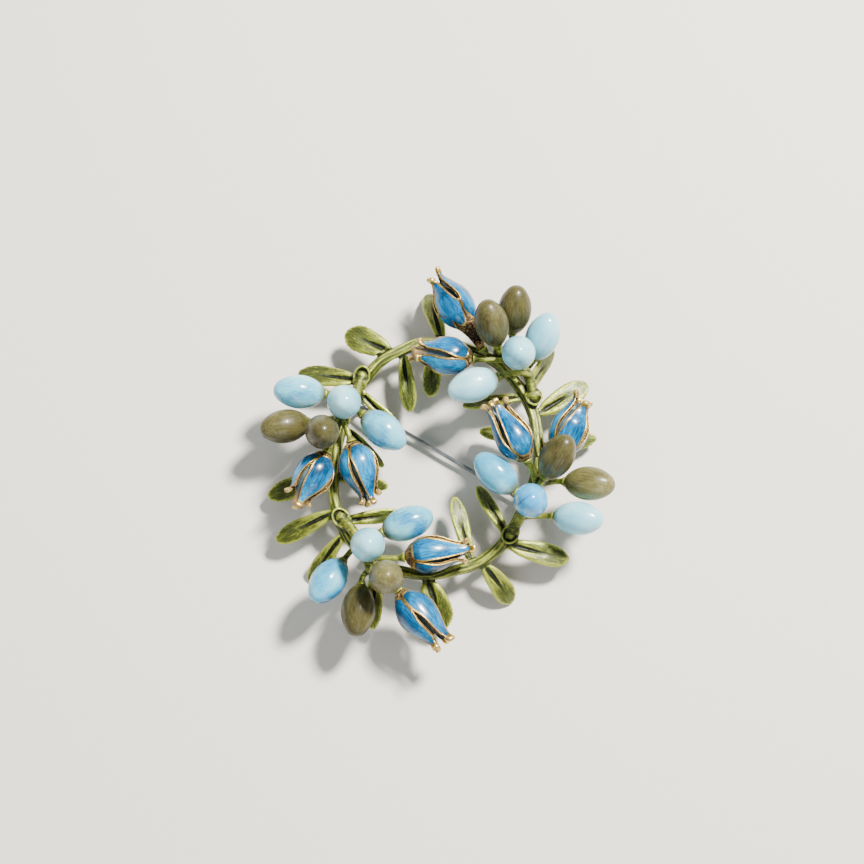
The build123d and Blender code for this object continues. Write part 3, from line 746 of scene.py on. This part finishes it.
def turned(rows, columns):
    # a circle extruded and resized ring by ring
    length, wide = bud["length"], bud["halfWidth"]
    bpy.ops.object.select_all(action="DESELECT")
    bpy.ops.mesh.primitive_circle_add(vertices=columns, radius=rows[0][1] * wide,
                                      location=(0, 0, rows[0][0] * length),
                                      rotation=(0, 0, math.radians(180 / columns)))
    obj = bpy.context.object
    bpy.ops.object.transform_apply(location=True, rotation=True)
    bpy.ops.object.mode_set(mode="EDIT")
    bpy.ops.mesh.select_all(action="SELECT")
    for before, row in zip(rows[:-1], rows[1:]):
        lift = (row[0] - before[0]) * length
        grow = row[1] / before[1]
        bpy.ops.mesh.extrude_edges_move(TRANSFORM_OT_translate={"value": (0, 0, lift)})
        bpy.ops.transform.resize(value=(grow, grow, 1), center_override=(0, 0, row[0] * length))
    bpy.ops.mesh.edge_face_add()
    bpy.ops.mesh.select_all(action="DESELECT")
    bpy.ops.object.mode_set(mode="OBJECT")
    return obj


def inSlit(face):
    # in one of the columns on the four sides
    angle = math.degrees(math.atan2(face.center.y, face.center.x))
    return abs((angle + 45) % 90 - 45) < bud["slitHalf"]


def openShell(shell, slitFrom):
    # the mouth and the slits are opened, and the base is closed
    shell.data.polygons[-1].select = True
    bpy.ops.object.mode_set(mode="EDIT")
    bpy.ops.mesh.select_mode(type="FACE")
    bpy.ops.mesh.delete(type="ONLY_FACE")
    bpy.ops.object.mode_set(mode="OBJECT")
    for face in shell.data.polygons:
        face.select = inSlit(face) and face.center.z > slitFrom * bud["length"]
    bpy.ops.object.mode_set(mode="EDIT")
    bpy.ops.mesh.delete(type="FACE")
    bpy.ops.mesh.select_mode(type="VERT")
    bpy.ops.mesh.select_all(action="DESELECT")
    bpy.ops.object.mode_set(mode="OBJECT")
    for point in shell.data.vertices:
        point.select = point.co.z < 0.001 * mm
    bpy.ops.object.mode_set(mode="EDIT")
    bpy.ops.mesh.edge_face_add()
    bpy.ops.mesh.select_all(action="SELECT")
    bpy.ops.mesh.normals_make_consistent(inside=False)
    bpy.ops.mesh.select_all(action="DESELECT")
    bpy.ops.mesh.select_mode(type="FACE")
    bpy.ops.object.mode_set(mode="OBJECT")


def panelFaces(shell, neck, panelFrom):
    # the calyx gets its finish, the petals theirs, and the enamel's faces are listed
    panels = []
    for face in shell.data.polygons:
        share = face.center.z / bud["length"] - neck
        face.material_index = 2 if inSlit(face) or share < panelFrom else 1
        if not inSlit(face) and panelFrom < share < bud["panelTo"]:
            panels.append(face.index)
    return panels


def narrowPetals(shell, rows, slitFrom, reach, neck):
    # petals narrow towards their tips, so the slits open, and the calyx reaches up between them
    points = meshPoints(shell)
    share = points[:, 2] / bud["length"] - neck
    half = np.interp(share + neck, [row[0] for row in rows], [row[2] for row in rows])
    opens = softStep(slitFrom, slitFrom + bud["slitOpens"], share)
    half = bud["closedHalf"] - (bud["closedHalf"] - half) * opens
    angle = np.degrees(np.arctan2(points[:, 1], points[:, 0]))
    middle = np.floor(angle / 90) * 90 + 45
    part = (angle - middle) / (45 - 180 / bud["columns"])
    radius = np.hypot(points[:, 0], points[:, 1])
    angle = np.radians(middle + part * half)
    points[:, 0], points[:, 1] = radius * np.cos(angle), radius * np.sin(angle)
    rises = softStep(*bud["calyxStarts"], share) * (1 - softStep(*bud["calyxFades"], share))
    points[:, 2] += reach * bud["length"] * np.abs(part) ** bud["calyxCurve"] * rises
    setPoints(shell, points)
    pickOnly(shell)
    bpy.ops.object.mode_set(mode="EDIT")
    bpy.ops.mesh.select_all(action="SELECT")
    if (meshNormals(shell)[:, :2] * points[:, :2]).sum() < 0:
        bpy.ops.mesh.flip_normals()
    bpy.ops.mesh.select_all(action="DESELECT")
    bpy.ops.object.mode_set(mode="OBJECT")


def sinkPanels(shell, panels):
    # gold rims round sunk enamel
    for index in panels:
        shell.data.polygons[index].select = True
    bpy.ops.object.mode_set(mode="EDIT")
    bpy.ops.mesh.inset(thickness=bud["rimWidth"], depth=0, use_boundary=True, use_even_offset=False)
    bpy.ops.mesh.inset(thickness=bud["step"], depth=-bud["recess"], use_boundary=True, use_even_offset=False)
    bpy.ops.object.mode_set(mode="OBJECT")
    for face in shell.data.polygons:
        if face.select:
            face.material_index = 0
    for finish in (enamel["blueEnamel"], metal["goldRim"], metal["bronzeCalyx"],
                   enamel["innerEnamel"], metal["goldRim"], metal["bronzeCalyx"]):
        shell.data.materials.append(finish)


def makeHeart(neck, heartFrom, heartTo, blunt):
    # the dark heart that shows through the slits
    rows = []
    for share, radius in heart["rows"]:
        grown = softStep(heartFrom + heart["grows"][0], heartFrom + heart["grows"][1], share)
        end = 1 - (1 - blunt) * softStep(*heart["ends"], share)
        rows.append((share * heartTo + neck, radius * grown * end + heart["least"]))
    core = turned(rows, heart["columns"])
    pickOnly(core)
    bpy.ops.object.mode_set(mode="EDIT")
    bpy.ops.mesh.select_all(action="SELECT")
    bpy.ops.mesh.normals_make_consistent(inside=False)
    bpy.ops.object.mode_set(mode="OBJECT")
    core.data.materials.append(enamel["heartEnamel"])
    applyModifier(core, "SUBSURF", levels=1, render_levels=1)
    return core


def budShell(kind):
    # an upright bud of one kind, and how many of its points are the petals'
    slitFrom, panelFrom, reach, neck, heartFrom, heartTo, blunt = budKinds[kind]
    rows = [(share + neck, radius, half) for share, radius, half in bud["rows"]]
    if neck:
        rows = bud["neckRows"] + rows[2:]
    shell = turned(rows, bud["columns"])
    openShell(shell, slitFrom + neck)
    panels = panelFaces(shell, neck, panelFrom)
    narrowPetals(shell, rows, slitFrom, reach, neck)
    sinkPanels(shell, panels)
    applyModifier(shell, "SOLIDIFY", thickness=bud["wall"], offset=-1.0, material_offset=3,
                  material_offset_rim=1, use_quality_normals=True)
    applyModifier(shell, "SUBSURF", levels=2, render_levels=2)
    points = meshPoints(shell)
    swell = bud["knob"] * softStep(*bud["knobStarts"], points[:, 2] / bud["length"] - neck)
    setPoints(shell, points + meshNormals(shell) * swell[:, None])
    core = makeHeart(neck, heartFrom, heartTo, blunt)
    petalPoints = len(shell.data.vertices)
    pickOnly(shell)
    core.select_set(True)
    bpy.ops.object.join()
    return shell, petalPoints


print("buds")
shells = {kind: budShell(kind) for kind in budKinds}
buds = {
    # name: heading, tilt, roll, kind, twist, length, how much fuller it is towards the tips, and how far each
    # petal's tip is longer (a share of the length) and further out (mm)
    "a6_bud": (242, 0, 17, "beaked", 20, 0.90, 0.16, ((-0.02, 0.0), (-0.14, 1.2), (0.0, 0.0), (-0.10, 0.2))),
    "a7_bud": (288, -2, 22, "plain", 2, 0.94, 0.08, ((0.015, -0.1), (-0.03, 0.1), (0.0, 0.0), (-0.11, 0.5))),
    "b6_bud": (123, 4, 16, "necked", -23, 0.97, 0.14, ((-0.08, 0.2), (0.02, -0.2), (0.0, 0.0), (-0.03, 0.0))),
    "b7_bud": (174, -2, -15, "beaked", 26, 0.89, 0.12, ((-0.08, 0.2), (-0.10, 0.8), (0.0, 0.0), (0.03, -0.2))),
    "c6_bud": (65, 10, -32, "plain", 18, 0.93, 0.16, ((0.02, 0.3), (-0.07, 0.5), (-0.05, 0.0), (-0.05, 0.0))),
    "c7_bud": (120, 9, 56, "plain", -4, 0.98, 0.02, ((0.0, 0.0), (-0.05, 0.6), (0.0, 0.0), (0.01, 0.5))),
    "d6_bud": (7, 0, 34, "calyx", 22, 1.0, 0.0, ((0.01, 0.0), (-0.13, 0.5), (0.0, 0.0), (-0.07, 0.1))),
    "d7_bud": (309, 1, 11, "late", -19, 1.0, 0.12, ((0.01, 0.8), (-0.03, 0.5), (0.0, 0.0), (-0.02, 0.0))),
}
budBend = {
    # shares of the length: where the twist is nought, the belly's middle and width, where the tips bend
    "twistFrom": 0.3, "bellyAt": 0.62, "bellyWidth": 0.2, "tipStarts": (0.45, 1.0),
    # soil at the base, at the tips and on the heart: how much, and between which shares
    "baseSoil": 0.6, "baseEnds": (0.08, 0.3), "tipSoil": 0.35, "tipEnds": (0.8, 0.95),
    "heartEnds": (0.68, 0.9),
}


def bentPoints(points, share, onPetal, roll, twist, size, belly, tips):
    angle = np.arctan2(points[:, 1], points[:, 0])
    radius = np.hypot(points[:, 0], points[:, 1])
    petal = np.floor(np.degrees(angle) / 90).astype(int) % 4
    longer, further = np.array(tips)[petal].T * softStep(*budBend["tipStarts"], share) * onPetal
    angle += np.radians(twist) * (np.clip(share, 0, 1) - budBend["twistFrom"]) + math.radians(roll)
    fuller = belly * np.exp(-((share - budBend["bellyAt"]) / budBend["bellyWidth"]) ** 2)
    radius = radius * (1 + fuller) + further * mm
    height = points[:, 2] + (np.clip(share, 0, None) * (size - 1) + longer) * bud["length"]
    return np.stack([radius * np.cos(angle), radius * np.sin(angle), height], 1)


for number, (name, (heading, tilt, roll, kind, twist, size, belly, tips)) in enumerate(buds.items()):
    shell, petalPoints = shells[kind]
    neck = budKinds[kind][3]
    flower = bpy.data.objects.new(name.replace("_bud", "_flower"), shell.data.copy())
    bpy.context.scene.collection.objects.link(flower)
    points = meshPoints(flower)
    share = points[:, 2] / bud["length"] - neck
    onPetal = np.arange(len(points)) < petalPoints
    points = bentPoints(points, share, onPetal, roll, twist, size, belly, tips)
    setPoints(flower, points)
    writeVector(flower, "place", points / mm + np.array(bud["patternStep"]) * number)
    soil = budBend["baseSoil"] * (1 - softStep(*budBend["baseEnds"], share))
    soil += budBend["tipSoil"] * softStep(*budBend["tipEnds"], share)
    writeNumber(flower, "soil", np.where(onPetal, soil, softStep(*budBend["heartEnds"], share)))
    axes, seat = seatFrame(meshPoints(frame["nodes"][name]), heading, tilt)
    setPoints(flower, points @ axes + seat)
    writeRelief(flower, bud["reliefRounds"], bud["reliefDepth"])
    smoothShade(flower, bud["shadeAngle"])
    print("  " + flower.name, "triangles", triangles(flower))
    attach(flower, "brooch")
    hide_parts(name)
for shell, petalPoints in shells.values():
    bpy.data.objects.remove(shell)

print("pin across the back")
pin = {
    "relief": 0.6, "shadeAngle": 35,
    # node: the body that it rides on
    "bodies": {"pin_stem": "pin", "pin_hinge": "brooch", "pin_catch": "brooch"},
}
for name, body in pin["bodies"].items():
    piece = copyNode(name, name.replace("pin_", "steel_"))
    points = meshPoints(piece)
    writeVector(piece, "flow", points / mm)
    writeNumber(piece, "relief", np.full(len(points), pin["relief"]))
    smoothShade(piece, pin["shadeAngle"])
    piece.data.materials.append(metal["wireSteel"])
    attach(piece, body)
    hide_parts(name)
